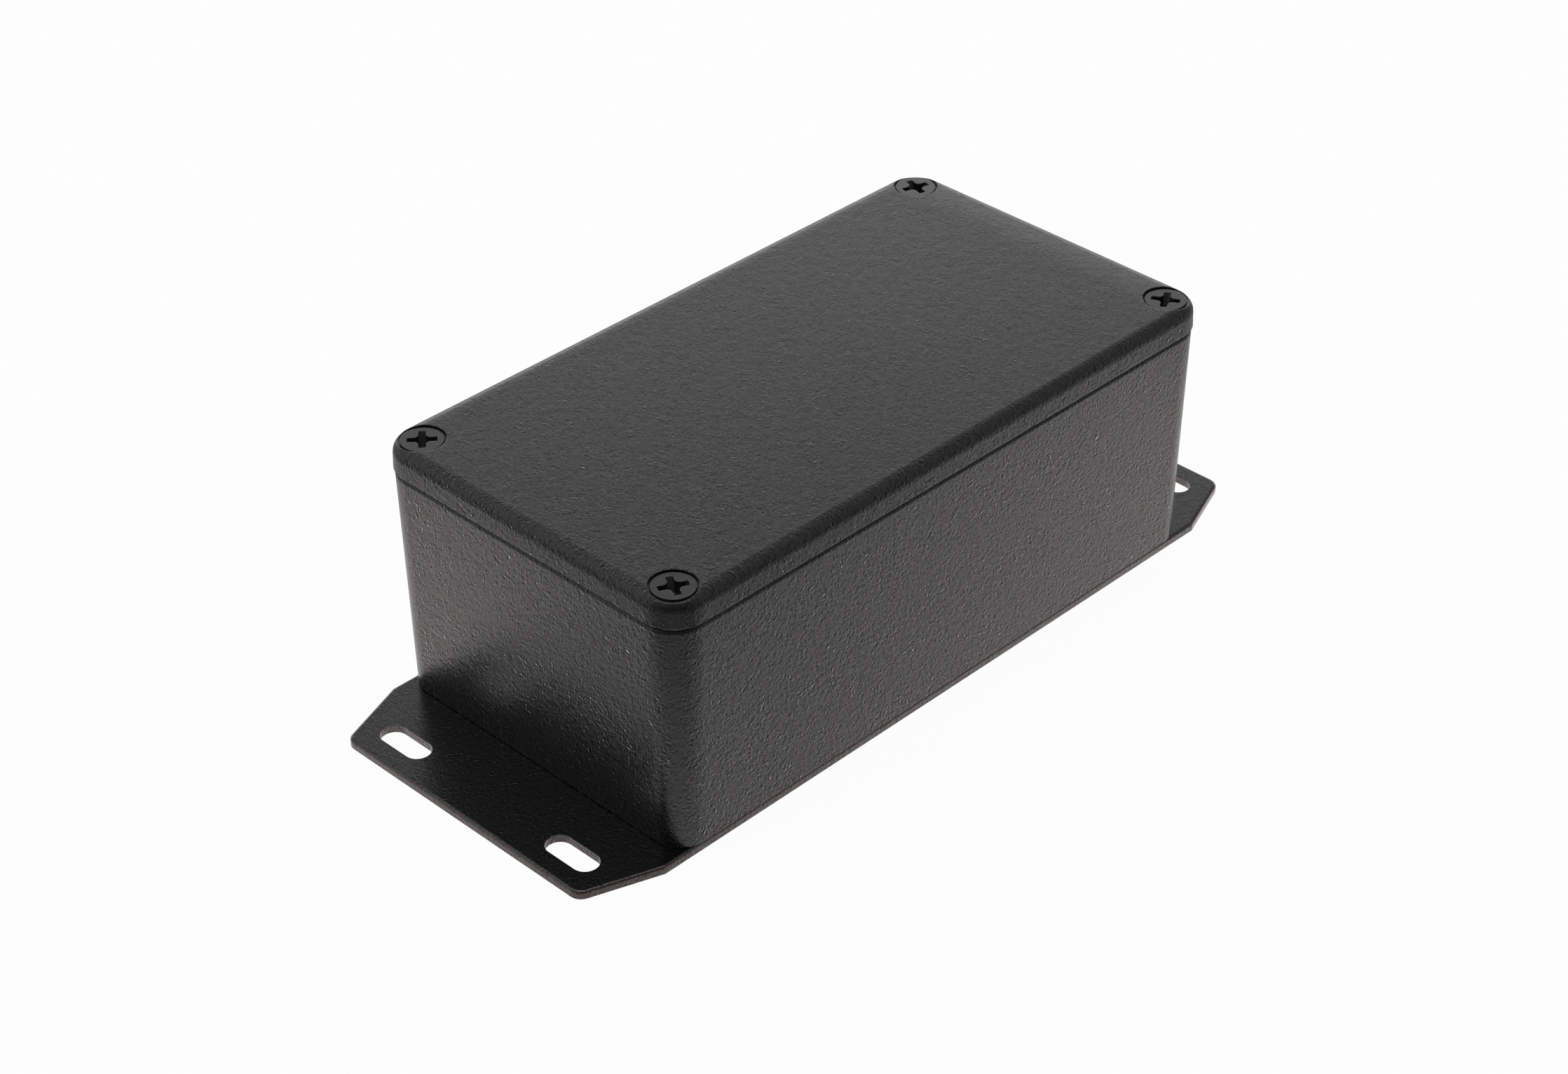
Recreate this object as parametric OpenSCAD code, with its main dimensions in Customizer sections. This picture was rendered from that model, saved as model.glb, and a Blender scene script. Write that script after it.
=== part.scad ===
// Die cast aluminium box: drafted base, rounded lid on four countersunk screws,
// and a slotted flange plate riveted under the floor.
// X runs across the box, Y along it and Z up. The origin is the middle of the plate's underside.

/* [Box] */
// Length of the box at the parting line between base and lid
box_length = 112; // [90:0.5:180]
// Width of the box at the parting line
box_width = 60; // [50:0.5:110]
// Height of the base, from the plate to the parting line
base_height = 37.9; // [24:0.1:80]
// Radius of the upright corners at the parting line
corner_radius = 5.3; // [4.8:0.1:9]
// Draft of the outer walls, which lean in towards the floor, in degrees
outer_draft = 1.2; // [0.3:0.1:1.8]
// Draft of the inner walls, in degrees
inner_draft = 1.5; // [0.3:0.1:1.8]
// Wall thickness at the rim
wall = 2.2; // [1.5:0.1:2.6]
// Thickness of the floor
floor_thickness = 2.4; // [1.6:0.1:4]
// Radius of the edge round the underside
bottom_edge_radius = 0.2; // [0.1:0.05:2]
// Radius of the outer edge of the rim, one side of the groove at the parting line
rim_edge_radius = 0.6; // [0.1:0.05:0.8]
// Fillet between the inner walls and the floor
floor_fillet = 1.2; // [0.4:0.1:1.4]

/* [Bosses] */
// Diameter of the screw bosses at the rim
boss_diameter = 8; // [7:0.1:10]
// Depth of the screw holes below the rim
hole_depth = 12; // [10:0.5:20]

/* [Lid] */
// Height of the lid above the parting line
lid_height = 4.7; // [4.2:0.1:8]
// How far the lid stands out past the base at the parting line
lid_overhang = 0.2; // [0:0.05:0.4]
// Draft of the lid's outer sides, which lean in towards the top, in degrees
lid_outer_draft = 2; // [0.5:0.1:3]
// Radius of the lid's upper edge
lid_edge_radius = 1.9; // [0.5:0.1:2.4]
// Gap at the parting line, outside the seat of the lid on the rim
lid_gap = 0.3; // [0.05:0.05:0.5]
// Radius of the lid's lower edge, the other side of the groove
lid_lower_radius = 0.2; // [0.05:0.05:0.4]
// Thickness of the lid's top
lid_thickness = 2.2; // [1.6:0.1:3]
// Width of the lid's rim that stands on the base
lid_rim = 3; // [2.4:0.1:4]
// Draft of the rim's inner side, in degrees
lid_inner_draft = 5; // [1:0.5:10]
// Depth of the locating lips below the parting line
lip_depth = 1.6; // [0.8:0.1:3]
// Thickness of the locating lips
lip_thickness = 1.6; // [1.2:0.1:2.4]
// Bevel on the lower edges of the lips
lip_bevel = 0.4; // [0.1:0.1:0.5]

/* [Lid screws] */
// Distance from the sides of the box to the screw axes
screw_inset = 4.5; // [4.3:0.1:6]
// Outside diameter of the thread
screw_diameter = 3.5; // [2.5:0.1:4]
// Length of a screw with its head
screw_length = 12; // [9:0.5:14]
// Diameter of the flat head
head_diameter = 6.3; // [5.6:0.1:7]
// Height of the upright edge round the head
head_edge = 0.3; // [0.1:0.05:0.5]
// Angle across the cone under the head, in degrees
head_angle = 82; // [80:1:100]
// Depth of the head's face below the lid's top
head_sink = 0.2; // [0.1:0.05:0.6]
// Gap between the head and the wall of its counterbore
head_gap = 0.35; // [0.1:0.05:0.5]
// Point of the screw: length of its bevel
point_bevel = 0.6; // [0.2:0.1:1]
// Span of the cross recess over its arms
cross_span = 4.5; // [3.6:0.1:4.8]
// Width of an arm of the cross recess
cross_arm = 1.1; // [0.6:0.1:1.3]
// Radius of the hollow flanks where two arms meet
cross_hollow = 1.1; // [0.8:0.1:1.4]
// Depth of the cross recess
cross_depth = 2; // [1.2:0.1:2.2]
// Span left at the bottom of the cross recess
cross_tip = 2.2; // [1.6:0.1:2.4]
// Turn of the cross recesses: left near, right near, left far and right far screw, in degrees
cross_turn = [50, 63, 72, 29]; // [0:1:90]

/* [Flange plate] */
// Thickness of the sheet with its coating
plate_thickness = 1.3; // [0.8:0.1:3]
// Rounding of the sheet's upper edge
plate_edge_radius = 0.5; // [0.1:0.05:0.6]
// Reach of the flanges past the ends of the box
flange_reach = 14.25; // [11:0.25:30]
// Distance of the plate's long edges inside the sides of the box
plate_side_inset = 0.9; // [0:0.1:3]
// Length that a corner cut takes off the long edge
cut_along = 12.3; // [4:0.1:16]
// Width that a corner cut takes off the end edge
cut_across = 4.45; // [2:0.05:8]
// Radius where a corner cut meets the end edge
cut_radius = 2; // [0.5:0.1:4]

/* [Slots] */
// Length of a slot over its round ends
slot_length = 9.5; // [6:0.1:14]
// Width of a slot
slot_width = 4.2; // [3:0.1:5.5]
// Distance from the plate's ends to the middle lines of the slots
slot_end_inset = 5.35; // [4:0.05:7]
// Distance from the plate's long edges to the middles of the slots
slot_side_inset = 11.3; // [9:0.1:16]

/* [Rivets] */
// Distance from the ends of the box to the rivets
rivet_end_inset = 22; // [14:0.5:35]
// Distance from the sides of the box to the rivets
rivet_side_inset = 14; // [10:0.5:20]
// Diameter of the rivet shanks
rivet_diameter = 3.2; // [2.4:0.1:4]
// Diameter of the flush heads under the plate
rivet_head = 5.4; // [4.8:0.1:6]
// Angle across the cone of the flush heads, in degrees
rivet_angle = 120; // [110:1:140]
// Diameter of the formed tails on the floor
rivet_tail = 5.2; // [4.8:0.1:6.5]
// Height of the formed tails
rivet_tail_height = 1.2; // [0.8:0.1:2]
// Rounding of the formed tails
rivet_tail_radius = 0.7; // [0.2:0.1:0.8]

/* [Clearances] */
// Gap between the lips and the inner walls at the rim
lip_clearance = 0.2; // [0.1:0.05:0.4]
// Gap between the ends of the lips and the bosses
lip_end_clearance = 0.6; // [0.3:0.1:2]
// Gap round the screws in the holes of the bosses
screw_clearance = 0.05; // [0.02:0.01:0.1]
// Gap round the screws in the holes of the lid
lid_hole_clearance = 0.25; // [0.1:0.05:0.4]
// Gap between the screw heads and the cones that they sit on
seat_clearance = 0.03; // [0.01:0.01:0.1]
// Gap round the rivets in the plate and the floor
rivet_clearance = 0.03; // [0.01:0.01:0.1]

/* [Hidden] */

$fn = 96;
// Largest step of a rounded edge, in degrees
arc_step = 15;
// How far cuts run past the faces that they open
over = 1;

floor_bottom = plate_thickness;
floor_top = floor_bottom + floor_thickness;
rim = floor_bottom + base_height;
lid_top = rim + lid_height;
lid_under = lid_top - lid_thickness;
head_face = lid_top - head_sink;

// Half distances between the axes of the four round corners
corner_x = box_width / 2 - corner_radius;
corner_y = box_length / 2 - corner_radius;
// Distances out from those axes to the inner wall at the rim and to the lips
inner_wall = corner_radius - wall;
lip_face = inner_wall - lip_clearance;
lip_back = lip_face - lip_thickness;

screw_x = box_width / 2 - screw_inset;
screw_y = box_length / 2 - screw_inset;
screw_radius = screw_diameter / 2;
head_radius = head_diameter / 2;
boss_radius = boss_diameter / 2;
head_cone = (head_radius - screw_radius) / tan(head_angle / 2);
// Axes of the hollow flanks, near enough for the hollows to bite into the sides of the arms
hollow_axis = cross_hollow + 0.4 * cross_arm;

plate_x = box_width / 2 - plate_side_inset;
plate_y = box_length / 2 + flange_reach;
cut_x = plate_x - cut_across;
cut_y = plate_y - cut_along;
slot_x = plate_x - slot_side_inset;
slot_y = plate_y - slot_end_inset;
slot_radius = slot_width / 2;

rivet_x = box_width / 2 - rivet_side_inset;
rivet_y = box_length / 2 - rivet_end_inset;
rivet_radius = rivet_diameter / 2;
rivet_cone = (rivet_head / 2 - rivet_radius) / tan(rivet_angle / 2);

coat = "#232325";
screw_black = "#1a1a1b";
rivet_metal = "#a5a7aa";

// Outlines with rounded corners
function unit(v) = v / norm(v);
function turn_between(a, b) = atan2(a.x * b.y - a.y * b.x, a * b);
function turned(v, angle) = [v.x * cos(angle) - v.y * sin(angle), v.x * sin(angle) + v.y * cos(angle)];
function flat(p) = [p.x, p.y];

// Arc of a radius that touches both edges at the corner b of the path a, b, c
function corner_arc(a, b, c, radius) =
    let (
        u = unit(a - b),
        v = unit(c - b),
        half = acos(u * v) / 2,
        centre = b + unit(u + v) * radius / sin(half),
        first = b + u * radius / tan(half) - centre,
        last = b + v * radius / tan(half) - centre,
        sweep = turn_between(first, last),
        steps = ceil(abs(sweep) / arc_step)
    )
    [for (i = [0:steps]) centre + turned(first, sweep * i / steps)];

// Closed outline through corners given as [x, y, radius], where radius 0 is a sharp corner
function rounded(corners) =
    let (n = len(corners))
    [
        for (i = [0:n - 1])
            let (
                b = flat(corners[i]),
                a = flat(corners[(i + n - 1) % n]),
                c = flat(corners[(i + 1) % n]),
                radius = corners[i].z
            )
            each (radius == 0 ? [b] : corner_arc(a, b, c, radius))
    ];

// Sweeps a section round the box: x is the distance out from the corner axes, y the height
module around_box() {
    for (quarter = [0:3]) {
        out = quarter % 2 == 0 ? corner_x : corner_y;
        along = quarter % 2 == 0 ? corner_y : corner_x;
        rotate(90 * quarter) {
            translate([out, along, 0]) rotate([90, 0, 0]) linear_extrude(2 * along) children();
            translate([out, along, 0]) rotate_extrude(angle = 90) children();
        }
    }
}

// Block between the corner axes, which fills the middle of a swept section
module middle(low, high) {
    translate([-corner_x, -corner_y, low]) cube([2 * corner_x, 2 * corner_y, high - low]);
}

// One copy at each of four places, mirrored about the middle of the box
module at_corners(x, y) {
    for (side_y = [-1, 1], side_x = [-1, 1]) translate([side_x * x, side_y * y, 0]) children();
}

// Outer form of the base, solid
module base_outside() {
    lean = base_height * tan(outer_draft);
    around_box() polygon(rounded([
        [0, floor_bottom, 0],
        [corner_radius - lean, floor_bottom, bottom_edge_radius],
        [corner_radius, rim, rim_edge_radius],
        [0, rim, 0]
    ]));
    middle(floor_bottom, rim);
}

// Space inside the base, open at the rim
module base_inside() {
    depth = rim - floor_top;
    around_box() polygon(rounded([
        [0, floor_top, 0],
        [inner_wall - depth * tan(inner_draft), floor_top, floor_fillet],
        [inner_wall + over * tan(inner_draft), rim + over, 0],
        [0, rim + over, 0]
    ]));
    middle(floor_top, rim + over);
}

// Bosses widen towards the floor by the inner draft
module bosses() {
    height = rim - floor_bottom;
    foot = boss_radius + height * tan(inner_draft);
    at_corners(screw_x, screw_y)
        translate([0, 0, floor_bottom]) cylinder(h = height, r1 = foot, r2 = boss_radius);
}

module base() {
    color(coat) difference() {
        base_outside();
        difference() {
            base_inside();
            bosses();
        }
        at_corners(screw_x, screw_y)
            translate([0, 0, rim - hole_depth])
                cylinder(h = hole_depth + over, r = screw_radius + screw_clearance);
        at_corners(rivet_x, rivet_y)
            translate([0, 0, floor_bottom - over])
                cylinder(h = floor_thickness + 2 * over, r = rivet_radius + rivet_clearance);
    }
}

// Tray form of the lid
module lid_shell() {
    side = corner_radius + lid_overhang;
    seat = corner_radius - 1.5 * rim_edge_radius;
    lean = lid_height * tan(lid_outer_draft);
    inner_lean = (lid_under - rim) * tan(lid_inner_draft);
    around_box() polygon(rounded([
        [0, lid_top, 0],
        [side - lean, lid_top, lid_edge_radius],
        [side, rim + lid_gap, lid_lower_radius],
        [seat, rim + lid_gap, 0],
        [seat, rim, 0],
        [corner_radius - lid_rim, rim, 0],
        [corner_radius - lid_rim - inner_lean, lid_under, 0],
        [0, lid_under, 0]
    ]));
    middle(lid_under, lid_top);
}

// Straight lips between the bosses, which drop inside the walls and locate the lid
module lips() {
    low = rim - lip_depth;
    high = lid_under + lid_thickness / 2;
    ends = boss_radius + lip_depth * tan(inner_draft) + lip_end_clearance;
    for (quarter = [0:3]) {
        out = quarter % 2 == 0 ? corner_x : corner_y;
        along = (quarter % 2 == 0 ? screw_y : screw_x) - ends;
        rotate(90 * quarter) translate([out, along, 0]) rotate([90, 0, 0]) linear_extrude(2 * along)
            polygon([
                [lip_back, high],
                [lip_back, low + lip_bevel],
                [lip_back + lip_bevel, low],
                [lip_face - lip_bevel, low],
                [lip_face, low + lip_bevel],
                [lip_face, high]
            ]);
    }
}

// Clearance hole, cone and counterbore for a lid screw, as one turned cut through the lid
module screw_seat() {
    shelf = head_face - head_edge;
    hole = screw_radius + lid_hole_clearance;
    mouth = head_radius + seat_clearance / cos(head_angle / 2);
    bore = head_radius + head_gap;
    rotate_extrude() polygon([
        [0, rim - over],
        [hole, rim - over],
        [hole, shelf - (mouth - hole) / tan(head_angle / 2)],
        [mouth, shelf],
        [bore, shelf],
        [bore, lid_top + over],
        [0, lid_top + over]
    ]);
}

module lid() {
    color(coat) difference() {
        union() {
            lid_shell();
            lips();
            at_corners(screw_x, screw_y)
                translate([0, 0, rim]) cylinder(h = lid_under - rim + lid_thickness / 2, r = boss_radius);
        }
        at_corners(screw_x, screw_y) screw_seat();
    }
}

// Tapered cross in the face of a screw, its mouth at height 0
module cross_recess() {
    through = 3 * cross_depth;
    intersection() {
        translate([0, 0, -cross_depth])
            cylinder(h = cross_depth + over, r1 = cross_tip / 2,
                r2 = cross_tip / 2 + (cross_span - cross_tip) / 2 * (cross_depth + over) / cross_depth);
        union() {
            for (angle = [0, 90])
                rotate(angle) cube([cross_span + over, cross_arm, through], center = true);
            difference() {
                cube([2 * hollow_axis, 2 * hollow_axis, through], center = true);
                at_corners(hollow_axis, hollow_axis)
                    cylinder(h = through + over, r = cross_hollow, center = true);
            }
        }
    }
}

// Countersunk screw with its face at height 0
module screw(angle) {
    difference() {
        rotate_extrude() polygon([
            [0, 0],
            [head_radius, 0],
            [head_radius, -head_edge],
            [screw_radius, -head_edge - head_cone],
            [screw_radius, point_bevel - screw_length],
            [screw_radius - point_bevel, -screw_length],
            [0, -screw_length]
        ]);
        rotate(angle) cross_recess();
    }
}

module lid_screws() {
    color(screw_black)
        for (row = [0, 1], column = [0, 1])
            translate([(2 * column - 1) * screw_x, (2 * row - 1) * screw_y, head_face])
                screw(cross_turn[2 * row + column]);
}

// Obround across the plate
module slot() {
    half_run = slot_length / 2 - slot_radius;
    square([2 * half_run, slot_width], center = true);
    for (side = [-1, 1]) translate([side * half_run, 0]) circle(slot_radius);
}

// Outline of the plate, anticlockwise
plate_outline = rounded([
    [plate_x, -cut_y, 0],
    [plate_x, cut_y, 0],
    [cut_x, plate_y, cut_radius],
    [-cut_x, plate_y, cut_radius],
    [-plate_x, cut_y, 0],
    [-plate_x, -cut_y, 0],
    [-cut_x, -plate_y, cut_radius],
    [cut_x, -plate_y, cut_radius]
]);

// Cutter that rounds the upper edge along one side of the outline, from a to b; its first and last
// facets run on past the faces of the sheet
module edge_cut(a, b) {
    run = b - a;
    arc = corner_arc([0, 0], [0, plate_thickness], [over, plate_thickness], plate_edge_radius);
    last = len(arc) - 1;
    translate(a) rotate(atan2(run.y, run.x)) translate([-over, 0, 0]) rotate([90, 0, 90])
        linear_extrude(norm(run) + 2 * over) polygon([
            4 * arc[0] - 3 * arc[1],
            for (i = [1:last - 1]) arc[i],
            4 * arc[last] - 3 * arc[last - 1],
            [-over, plate_thickness + over]
        ]);
}

// Countersunk hole for a rivet, as one turned cut through the plate
module rivet_hole() {
    hole = rivet_radius + rivet_clearance;
    mouth = rivet_head / 2 + rivet_clearance;
    rotate_extrude() polygon([
        [0, -over],
        [mouth, -over],
        [mouth, 0],
        [hole, (mouth - hole) / tan(rivet_angle / 2)],
        [hole, plate_thickness + over],
        [0, plate_thickness + over]
    ]);
}

module flange_plate() {
    color(coat) difference() {
        linear_extrude(plate_thickness) difference() {
            polygon(plate_outline);
            at_corners(slot_x, slot_y) slot();
        }
        at_corners(rivet_x, rivet_y) rivet_hole();
        for (i = [0:len(plate_outline) - 1])
            edge_cut(plate_outline[i], plate_outline[(i + 1) % len(plate_outline)]);
    }
}

// Rivets with a flush head under the plate and a formed tail on the floor inside
module flange_rivets() {
    color(rivet_metal) at_corners(rivet_x, rivet_y) rotate_extrude() polygon(rounded([
        [0, 0, 0],
        [rivet_head / 2, 0, 0],
        [rivet_radius, rivet_cone, 0],
        [rivet_radius, floor_top, 0],
        [rivet_tail / 2, floor_top, 0],
        [rivet_tail / 2, floor_top + rivet_tail_height, rivet_tail_radius],
        [0, floor_top + rivet_tail_height, 0]
    ]));
}

flange_plate();
flange_rivets();
base();
lid();
lid_screws();
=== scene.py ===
from math import cos, pi, radians, sin

import bpy
from mathutils import Matrix, Vector

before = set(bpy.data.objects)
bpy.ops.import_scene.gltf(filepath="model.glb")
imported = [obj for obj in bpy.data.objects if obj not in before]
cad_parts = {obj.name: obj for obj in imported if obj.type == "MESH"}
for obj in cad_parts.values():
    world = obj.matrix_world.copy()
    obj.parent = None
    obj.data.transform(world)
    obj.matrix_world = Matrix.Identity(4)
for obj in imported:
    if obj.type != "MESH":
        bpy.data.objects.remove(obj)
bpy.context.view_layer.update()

MM = 0.001
WHITE = (1, 1, 1, 1)

# The photograph's width and the camera that fits it, in pixels and degrees
PHOTO_WIDTH = 2237
FOCAL_PIXELS = 4595.8
AZIMUTH = 44.58
ELEVATION = 34.706
ROLL = 0.323
# Where the object's origin lies from the camera: right, down and ahead, in metres
ORIGIN_SEEN = Vector((3.421, 11.171, 494.55)) * MM
CLIP_START = 0.01

# Azimuths that the studio faces and that the room's bright side lies at
STUDIO_FRONT = 45
ROOM_BRIGHT_SIDE = 300
# The room, by how far a direction points to the bright side or to the front: its level, and factors on
# that in front of the object and behind it
ROOM_LEVEL = dict(near=-0.2, near_level=0.36, far=0.7, far_level=0.70)
ROOM_AHEAD = dict(near=0.1, near_level=1, far=0.7, far_level=0.29)
ROOM_BEHIND = dict(near=-0.2, near_level=1, far=-0.6, far_level=0.78)
# Softboxes: azimuth and elevation that they shine from, distance, width, height and brightness
OVERHEAD = dict(azimuth=45, elevation=84, distance=1.2, width=0.9, height=0.9, brightness=1.3)
BACK = dict(azimuth=225, elevation=12, distance=1.4, width=2.4, height=0.80, brightness=1.35)

FLOOR_SIZE = 8.0
FLOOR_GAP = 0.05 * MM
FLOOR_COLOUR = (0.95, 0.94, 0.925, 1)
# Share of the floor's look that is plain white whatever light falls on it
FLOOR_GLOW = 0.96
# The floor as the coat mirrors it is a painted reflection with painted light and shade: a little warm, darker
# towards the front and brighter towards the back, faster on the left: distances towards the front in metres,
# with the level all over and what is added on each side
MIRROR_COLOUR = (1, 0.985, 0.965, 1)
MIRROR_FRONT = dict(near=0.110, near_level=0.50, far=0.050, far_level=0.90)
MIRROR_RIGHT = dict(near=0.040, near_level=0, far=-0.015, far_level=0.37)
MIRROR_LEFT = dict(near=0.043, near_level=0, far=0.022, far_level=0.40)
# Half width, in metres, of the strip between left and right
MIRROR_BLEND = 0.02
# The painted reflection dims between two distances outside the box, given by its half width and half length
# in metres
HALF_WIDTH = 0.030
HALF_LENGTH = 0.056
DIM_NEAR = 0.033
DIM_FAR = 0.085
DIM_AMOUNT = 0.65

# Relief of the coat, as waves per millimetre, and heights and lengths in millimetres: a slow orange peel,
# a fine grain, and pits and raised specks at places that a noise pushes about
PEEL_SCALE = 0.6
PEEL_HEIGHT = 0.03
GRAIN_SCALE = 3.0
GRAIN_HEIGHT = 0.01
WARP_SCALE = 2.0
WARP_REACH = 0.8
MARK_SPACING = 0.56
MARK_RADIUS = 0.37
MARK_HEIGHT = 0.016
# Height of the lowest mark as a share of the highest, and the shares of places with a pit and a speck
MARK_LEAST = 0.5
PIT_SHARE = 0.48
SPECK_SHARE = 0.46
# The marks are stronger in some places than in others: waves per millimetre, and strength by the noise
PATCH_SCALE = 0.35
PATCH_STRENGTH = dict(near=0.35, near_level=0.6, far=0.65, far_level=1.0)
# Steps of finer waves in smooth noises, in the coat's grain and in that of bare metal, and the share of
# its strength that each of the last keeps
SMOOTH_DETAIL = 1
GRAIN_DETAIL = 2
METAL_DETAIL = 3
METAL_DECAY = 0.6

# Painted highlight and shade on the marks: the coat is made glossier on one side of each mark than on the
# other, as if lit from one direction. The direction, half the distance between the sides in millimetres, how
# many times more or less gloss a difference of one full height gives, and the share of that power on the
# highlight side
PAINTED_LIGHT_DIRECTION = Vector((-1, 1, -1)).normalized()
PAINTED_SHADE_REACH = 0.12
PAINTED_SHADE_GLOSS = 80
PAINTED_HIGHLIGHT_SHARE = 0.45
# Difference of height that the grain counts for in this, and the middle of its noise
GRAIN_GLOSS = 0.6
NOISE_MIDDLE = 0.5
# Shares of that power on level surfaces and on rounded corners and edges
LEVEL_SHARE = 0.75
ROUND_SHARE = 0.4
# Z of the normal above which a surface counts as level, and below which it counts as upright
LEVEL_NORMAL = 0.9
UPRIGHT_NORMAL = 0.4
# Level surfaces of the castings fall away a little towards the -X side and the +Y end: where that starts
# and where it is full, in millimetres from the middle, and the full slope
FALL_SIDE = dict(near=-26.8, near_level=0, far=-28.5, far_level=-0.07)
FALL_END = dict(near=48, near_level=0, far=55, far_level=0.07)

COAT_COLOUR = (0.0026, 0.0022, 0.0020, 1)
# The coat is thin on the sheet's cut edges and shows brown there
CUT_EDGE_COLOUR = (0.050, 0.012, 0.011, 1)
# Specular level away from the marks, and the tint of the gloss
COAT_GLOSS = 0.53
GLOSS_TINT = (1, 0.97, 0.985, 1)
# The grain makes the coat rougher or smoother by this much, between two levels of its noise
ROUGHNESS_SPREAD = 0.04
GRAIN_LOW = 0.3
GRAIN_HIGH = 0.7
# Strength of the relief, how far the coat rounds off sharp edges in millimetres, and gloss
CASTING_COAT = dict(relief=1.0, edge=0.25, roughness=0.34, ior=1.6)
SHEET_COAT = dict(relief=0.65, edge=0.12, roughness=0.24, ior=1.72)
BEVEL_SAMPLES = 6

# Screws and rivets, with the rounding of edges in millimetres and the grain's scale and height
SCREW_COLOUR = (0.016, 0.0155, 0.015, 1)
SCREW_TINT = (1, 0.95, 0.93, 1)
SCREW_ROUGHNESS = 0.26
SCREW_IOR = 1.68
SCREW_EDGE = 0.12
SCREW_GRAIN = dict(scale=4, height=0.012)
RIVET_COLOUR = (0.62, 0.63, 0.64, 1)
RIVET_ROUGHNESS = 0.42
RIVET_GRAIN = dict(scale=5, height=0.01)


def from_direction(azimuth, elevation):
    """Unit vector from the object towards a place; azimuth 0 is towards -Y."""
    a = radians(azimuth)
    e = radians(elevation)
    return Vector((sin(a) * cos(e), -cos(a) * cos(e), sin(e)))


def add(tree, kind, values=(), **settings):
    """Adds a shader node: settings are its properties, values its inputs by name or number."""
    node = tree.nodes.new("ShaderNode" + kind)
    for name, value in settings.items():
        setattr(node, name, value)
    for key, value in dict(values).items():
        if isinstance(value, bpy.types.NodeSocket):
            tree.links.new(value, node.inputs[key])
        else:
            node.inputs[key].default_value = value
    return node


def calculate(tree, operation, first, second=0.0):
    """Result of a math node on two values or sockets."""
    return add(tree, "Math", {0: first, 1: second}, operation=operation).outputs[0]


def combine(tree, operation, first, second=(0, 0, 0)):
    """Result of a vector math node on two vectors or sockets."""
    return add(tree, "VectorMath", {0: first, 1: second}, operation=operation).outputs[0]


def scaled(tree, vector, factor):
    """A vector times a number."""
    return add(tree, "VectorMath", {0: vector, "Scale": factor}, operation="SCALE").outputs[0]


def along(tree, place, direction):
    """Distance of a place along a direction."""
    return add(tree, "VectorMath", {0: place, 1: direction}, operation="DOT_PRODUCT").outputs["Value"]


def ramp(tree, value, near, near_level, far, far_level):
    """Level that runs evenly from one value to another and stays put outside them."""
    return add(tree, "MapRange", {0: value, 1: near, 2: far, 3: near_level, 4: far_level}).outputs[0]


def new_material(name):
    """Material without nodes, and its tree."""
    material = bpy.data.materials.new(name)
    material.use_nodes = True
    material.node_tree.nodes.clear()
    return material, material.node_tree


def finish_material(tree, shader):
    """Shows a shader on the material's surface."""
    add(tree, "OutputMaterial", {"Surface": shader.outputs[0]})


def millimetres(tree):
    """Place on the object in millimetres."""
    return scaled(tree, add(tree, "TexCoord").outputs["Object"], 1 / MM)


def surface_normal(tree):
    """Normal of the surface as modelled."""
    return add(tree, "NewGeometry").outputs["Normal"]


def rounded_normal(tree, edge):
    """Normal that rounds off sharp edges by some millimetres."""
    return add(tree, "Bevel", {"Radius": edge * MM}, samples=BEVEL_SAMPLES).outputs[0]


def bumped(tree, height, normal):
    """Normal that follows a height in millimetres."""
    values = {"Height": height, "Distance": MM, "Strength": 1.0, "Normal": normal}
    return add(tree, "Bump", values).outputs[0]


def noise(tree, place, scale, detail):
    """Outputs of a noise of so many waves per millimetre."""
    return add(tree, "TexNoise", {"Vector": place, "Scale": scale, "Detail": detail}).outputs


def marks(tree, place):
    """Small pits and raised specks that are strewn over the coat, as heights from -1 to 1."""
    warp = noise(tree, place, WARP_SCALE, SMOOTH_DETAIL)["Color"]
    warped = add(tree, "VectorMath", {0: warp, 1: (WARP_REACH,) * 3, 2: place}, operation="MULTIPLY_ADD")
    cells = add(tree, "TexVoronoi", {"Vector": warped.outputs[0], "Scale": 1 / MARK_SPACING, "Randomness": 1})
    reach = {0: cells.outputs["Distance"], 1: 0, 2: MARK_RADIUS / MARK_SPACING, 3: 1, 4: 0}
    near = add(tree, "MapRange", reach, interpolation_type="SMOOTHSTEP").outputs[0]
    chance = add(tree, "SeparateColor", {0: cells.outputs["Color"]}).outputs
    pit = calculate(tree, "LESS_THAN", chance[0], PIT_SHARE)
    speck = calculate(tree, "GREATER_THAN", chance[0], 1 - SPECK_SHARE)
    sign = calculate(tree, "SUBTRACT", speck, pit)
    size = ramp(tree, chance[1], 0, MARK_LEAST, 1, 1)
    patches = noise(tree, place, PATCH_SCALE, SMOOTH_DETAIL)[0]
    strength = calculate(tree, "MULTIPLY", size, ramp(tree, patches, **PATCH_STRENGTH))
    return calculate(tree, "MULTIPLY", near, calculate(tree, "MULTIPLY", sign, strength))


def coat_height(tree, place, grain):
    """Height of the coat in millimetres, with its peel, its grain and its marks."""
    peel = calculate(tree, "MULTIPLY", noise(tree, place, PEEL_SCALE, SMOOTH_DETAIL)[0], PEEL_HEIGHT)
    height = calculate(tree, "ADD", peel, calculate(tree, "MULTIPLY", grain, GRAIN_HEIGHT))
    return calculate(tree, "ADD", height, calculate(tree, "MULTIPLY", marks(tree, place), MARK_HEIGHT))


def uprightness(tree):
    """How upright a surface is: 0 where it is level, 1 where it stands."""
    level = calculate(tree, "ABSOLUTE", add(tree, "SeparateXYZ", {0: surface_normal(tree)}).outputs["Z"])
    return ramp(tree, level, LEVEL_NORMAL, 0, UPRIGHT_NORMAL, 1)


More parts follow.
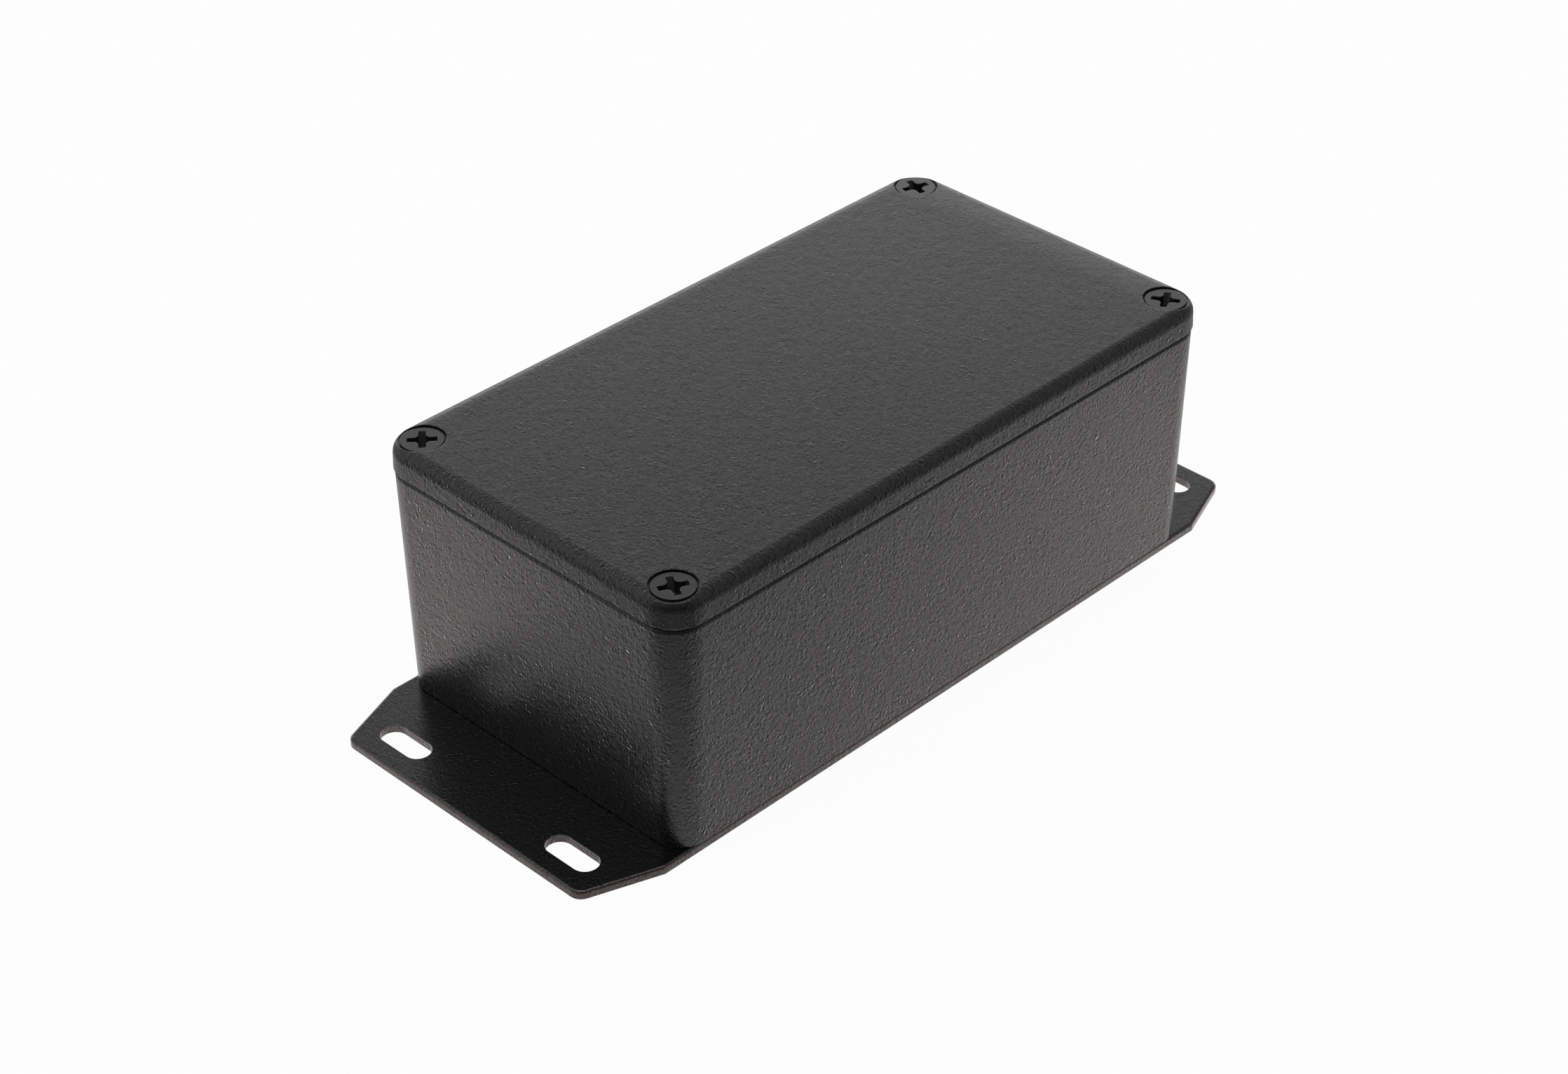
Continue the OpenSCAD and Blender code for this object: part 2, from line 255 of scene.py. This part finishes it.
def roundness(tree):
    """How far a surface turns between the box's faces: 0 where it is one of them, 1 halfway between two."""
    normal = add(tree, "SeparateXYZ", {0: surface_normal(tree)}).outputs
    across, lengthwise, up = [calculate(tree, "ABSOLUTE", part) for part in normal]
    most = calculate(tree, "MAXIMUM", calculate(tree, "MAXIMUM", across, lengthwise), up)
    return ramp(tree, most, 1, 0, cos(pi / 4), 1)


def along_surface(tree, direction, length):
    """Part of a direction that runs along the surface, times a length."""
    normal = surface_normal(tree)
    outwards = scaled(tree, normal, along(tree, normal, direction))
    return scaled(tree, combine(tree, "SUBTRACT", direction, outwards), length)


def gloss_with_painted_shade(tree, place, grain, relief):
    """Specular level of the coat, which varies with the grain and carries painted highlight and shade on the
    sides of the marks.
    """
    shift = along_surface(tree, PAINTED_LIGHT_DIRECTION, PAINTED_SHADE_REACH)
    near = marks(tree, combine(tree, "ADD", place, shift))
    far = marks(tree, combine(tree, "SUBTRACT", place, shift))
    # Painted highlight and shade: the difference of the marks across the painted light direction
    slope = calculate(tree, "SUBTRACT", near, far)
    slope = calculate(tree, "MINIMUM", slope, calculate(tree, "MULTIPLY", slope, PAINTED_HIGHLIGHT_SHARE))
    fine = calculate(tree, "MULTIPLY", calculate(tree, "SUBTRACT", grain, NOISE_MIDDLE), GRAIN_GLOSS)
    share = calculate(tree, "MULTIPLY", ramp(tree, uprightness(tree), 0, LEVEL_SHARE, 1, 1), relief)
    share = calculate(tree, "MULTIPLY", share, ramp(tree, roundness(tree), 0, 1, 1, ROUND_SHARE))
    power = calculate(tree, "MULTIPLY", calculate(tree, "ADD", slope, fine), share)
    return calculate(tree, "MULTIPLY", calculate(tree, "POWER", PAINTED_SHADE_GLOSS, power), COAT_GLOSS)


def sheet_colour(tree):
    """Colour of the coat on the sheet, by how upright the surface is."""
    colours = {0: uprightness(tree), 6: COAT_COLOUR, 7: CUT_EDGE_COLOUR}
    return add(tree, "Mix", colours, data_type="RGBA").outputs[2]


def falling_edges(tree, place, normal):
    """Normal of level surfaces that fall away a little towards one side and one end of the box."""
    axes = add(tree, "SeparateXYZ", {0: place}).outputs
    side = ramp(tree, axes["X"], **FALL_SIDE)
    end = ramp(tree, axes["Y"], **FALL_END)
    tilt = add(tree, "CombineXYZ", {"X": side, "Y": end}).outputs[0]
    level = ramp(tree, add(tree, "SeparateXYZ", {0: normal}).outputs["Z"], LEVEL_NORMAL, 0, 1, 1)
    turned = combine(tree, "ADD", normal, scaled(tree, tilt, level))
    return combine(tree, "NORMALIZE", turned)


def coat_material(name, relief, edge, roughness, ior, colour=None, fall=False):
    """Black powder coat: colour makes a colour that varies, fall tilts the level surfaces."""
    material, tree = new_material(name)
    place = millimetres(tree)
    grain = noise(tree, place, GRAIN_SCALE, GRAIN_DETAIL)[0]
    height = calculate(tree, "MULTIPLY", coat_height(tree, place, grain), relief)
    normal = rounded_normal(tree, edge)
    if fall:
        normal = falling_edges(tree, place, normal)
    smoothest = roughness - ROUGHNESS_SPREAD
    roughest = roughness + ROUGHNESS_SPREAD
    finish_material(tree, add(tree, "BsdfPrincipled", {
        "Base Color": colour(tree) if colour else COAT_COLOUR,
        "Roughness": ramp(tree, grain, GRAIN_LOW, smoothest, GRAIN_HIGH, roughest),
        "IOR": ior,
        "Specular IOR Level": gloss_with_painted_shade(tree, place, grain, relief),
        "Specular Tint": GLOSS_TINT,
        "Normal": bumped(tree, height, normal),
    }))
    return material


def metal_height(tree, scale, height):
    """Height of the grain on bare or blackened metal."""
    grain = add(tree, "TexNoise", {"Vector": millimetres(tree), "Scale": scale, "Detail": METAL_DETAIL,
                                   "Roughness": METAL_DECAY})
    return calculate(tree, "MULTIPLY", grain.outputs[0], height)


def screw_material():
    """Smooth satin black of the screws."""
    material, tree = new_material("screw_black")
    normal = bumped(tree, metal_height(tree, **SCREW_GRAIN), rounded_normal(tree, SCREW_EDGE))
    finish_material(tree, add(tree, "BsdfPrincipled", {
        "Base Color": SCREW_COLOUR,
        "Roughness": SCREW_ROUGHNESS,
        "IOR": SCREW_IOR,
        "Specular Tint": SCREW_TINT,
        "Normal": normal,
    }))
    return material


def rivet_material():
    """Plain satin aluminium of the rivets."""
    material, tree = new_material("rivet_aluminium")
    normal = bumped(tree, metal_height(tree, **RIVET_GRAIN), surface_normal(tree))
    finish_material(tree, add(tree, "BsdfPrincipled", {
        "Base Color": RIVET_COLOUR,
        "Metallic": 1,
        "Roughness": RIVET_ROUGHNESS,
        "Normal": normal,
    }))
    return material


def dress(node, material):
    """Gives a node of the frame its finish."""
    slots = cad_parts[node].data.materials
    slots.clear()
    slots.append(material)


def outside_box(tree, place, direction, half_size):
    """Rises from 0 to 1 with the distance outside the box, along a direction or against it."""
    reach = calculate(tree, "ABSOLUTE", along(tree, place, direction))
    return ramp(tree, reach, half_size + DIM_NEAR, 0, half_size + DIM_FAR, 1)


def painted_reflection_level(tree):
    """Brightness of the floor as the coat mirrors it, painted with light and shade."""
    place = add(tree, "TexCoord").outputs["Object"]
    towards = along(tree, place, from_direction(STUDIO_FRONT, 0))
    aside = along(tree, place, from_direction(STUDIO_FRONT + 90, 0))
    side = ramp(tree, aside, -MIRROR_BLEND, 0, MIRROR_BLEND, 1)
    left = ramp(tree, towards, **MIRROR_LEFT)
    right = ramp(tree, towards, **MIRROR_RIGHT)
    behind = add(tree, "Mix", {0: side, 2: left, 3: right}).outputs[0]
    level = calculate(tree, "ADD", ramp(tree, towards, **MIRROR_FRONT), behind)
    across = outside_box(tree, place, (1, 0, 0), HALF_WIDTH)
    lengthwise = outside_box(tree, place, (0, 1, 0), HALF_LENGTH)
    dim = calculate(tree, "MULTIPLY", calculate(tree, "MAXIMUM", across, lengthwise), DIM_AMOUNT)
    return calculate(tree, "MULTIPLY", level, calculate(tree, "SUBTRACT", 1, dim))


def make_floor():
    """Pale floor that stays white away from the object and keeps its shadow."""
    bpy.ops.mesh.primitive_plane_add(size=FLOOR_SIZE, location=(0, 0, -FLOOR_GAP))
    floor = bpy.context.object
    floor.name = "floor"
    material, tree = new_material("floor_white")
    path = add(tree, "LightPath").outputs
    paint = add(tree, "BsdfDiffuse", {"Color": FLOOR_COLOUR})
    white = add(tree, "Emission", {"Color": WHITE, "Strength": 1})
    # Painted reflection: glossy rays see the floor at a level painted with light and shade, not at the light
    # that falls on it
    mirrored = add(tree, "Emission", {"Color": MIRROR_COLOUR, "Strength": painted_reflection_level(tree)})
    glow = add(tree, "MixShader", {0: path["Is Glossy Ray"], 1: white.outputs[0], 2: mirrored.outputs[0]})
    seen = calculate(tree, "MAXIMUM", path["Is Camera Ray"], path["Is Glossy Ray"])
    seen = calculate(tree, "MAXIMUM", seen, path["Is Transmission Ray"])
    share = calculate(tree, "MULTIPLY", seen, FLOOR_GLOW)
    finish_material(tree, add(tree, "MixShader", {0: share, 1: paint.outputs[0], 2: glow.outputs[0]}))
    floor.data.materials.append(material)


def make_softbox(name, azimuth, elevation, distance, width, height, brightness):
    """Rectangular soft light that faces the object."""
    light = bpy.data.lights.new(name, "AREA")
    light.shape = "RECTANGLE"
    light.size = width
    light.size_y = height
    light.energy = brightness * pi * width * height
    softbox = bpy.data.objects.new(name, light)
    away = from_direction(azimuth, elevation)
    softbox.location = away * distance
    softbox.rotation_mode = "QUATERNION"
    softbox.rotation_quaternion = away.to_track_quat("Z", "Y")
    bpy.context.scene.collection.objects.link(softbox)


def make_world():
    """White room that is bright at the left and behind the object, and dim at the right and in front."""
    world = bpy.data.worlds.new("studio")
    world.use_nodes = True
    tree = world.node_tree
    tree.nodes.clear()
    towards = add(tree, "TexCoord").outputs["Generated"]
    level = ramp(tree, along(tree, towards, from_direction(ROOM_BRIGHT_SIDE, 0)), **ROOM_LEVEL)
    ahead = along(tree, towards, from_direction(STUDIO_FRONT, 0))
    level = calculate(tree, "MULTIPLY", level, ramp(tree, ahead, **ROOM_AHEAD))
    level = calculate(tree, "MULTIPLY", level, ramp(tree, ahead, **ROOM_BEHIND))
    room = add(tree, "Background", {"Color": WHITE, "Strength": level})
    add(tree, "OutputWorld", {"Surface": room.outputs[0]})
    bpy.context.scene.world = world


def make_camera():
    """Camera at the photograph's viewing angle and place."""
    back = from_direction(AZIMUTH, ELEVATION)
    right = Vector((0, 0, 1)).cross(back).normalized()
    down = right.cross(back)
    turn = radians(ROLL)
    right, down = right * cos(turn) + down * sin(turn), down * cos(turn) - right * sin(turn)
    place = back * ORIGIN_SEEN.z - right * ORIGIN_SEEN.x - down * ORIGIN_SEEN.y
    data = bpy.data.cameras.new("camera")
    data.sensor_fit = "HORIZONTAL"
    data.lens = data.sensor_width * FOCAL_PIXELS / PHOTO_WIDTH
    data.clip_start = CLIP_START
    camera = bpy.data.objects.new("camera", data)
    axes = Matrix((right, -down, back)).transposed().to_4x4()
    camera.matrix_world = Matrix.Translation(place) @ axes
    bpy.context.scene.collection.objects.link(camera)
    bpy.context.scene.camera = camera


casting = coat_material("casting_coat", **CASTING_COAT, fall=True)
sheet = coat_material("sheet_coat", **SHEET_COAT, colour=sheet_colour)
dress("base", casting)
dress("lid", casting)
dress("flange_plate", sheet)
dress("lid_screws", screw_material())
dress("flange_rivets", rivet_material())
make_floor()
make_world()
make_softbox("overhead", **OVERHEAD)
make_softbox("back", **BACK)
make_camera()

bpy.context.scene.view_settings.view_transform = "Standard"
